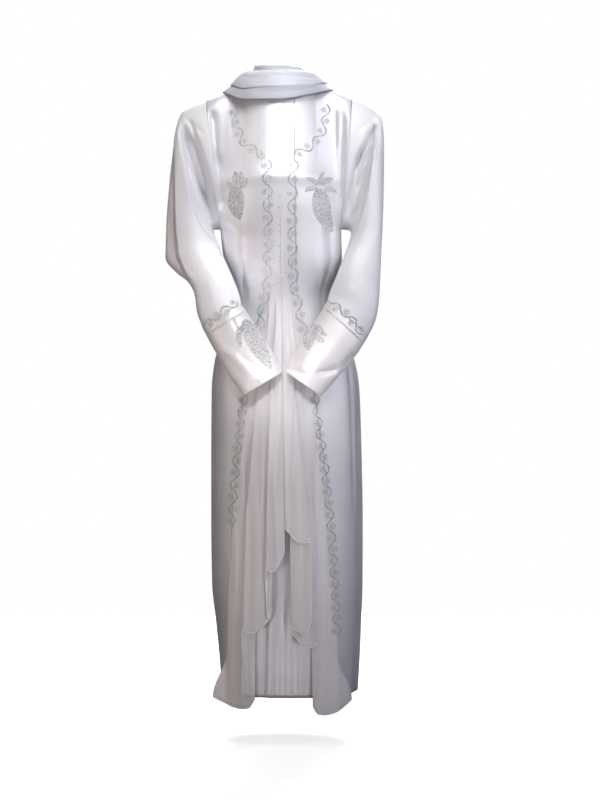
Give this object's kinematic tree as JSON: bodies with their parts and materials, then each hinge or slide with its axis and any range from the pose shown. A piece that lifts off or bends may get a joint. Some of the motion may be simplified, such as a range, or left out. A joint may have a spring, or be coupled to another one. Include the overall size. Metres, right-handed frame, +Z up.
{
  "type": "kaftan",
  "caption": "Long white satin kaftan, hollow as worn, with wide sleeves, flat cuffs, a cascading chiffon front let into princess seams and a draped cowl at the neck.",
  "frame": {"origin": "middle of the shoulder line, inside the neck opening, where the wearer's shoulders hold the garment", "axes": "+Z up along the body, -Y out of the garment's front, +X to the right of someone who looks at the front"},
  "size_m": [0.4963, 0.3451, 1.4648],
  "materials": {
    "satin": "satin weave, soft sheen",
    "cuff_satin": "satin weave, brighter sheen",
    "chiffon": "sheer matte chiffon",
    "beads": "small silver-lined beads"
  },
  "bodies": {
    "root": {"front_centre_panel": "satin", "front_side_left": "satin", "front_side_right": "satin", "back_panel": "satin", "sleeve_left": "satin", "sleeve_right": "satin", "cuff_left": "cuff_satin", "cuff_right": "cuff_satin", "chiffon_left": "chiffon", "chiffon_right": "chiffon", "cowl_stand": "satin", "cowl_upper": "satin", "cowl_lower": "satin"}
  },
  "joints": []
}
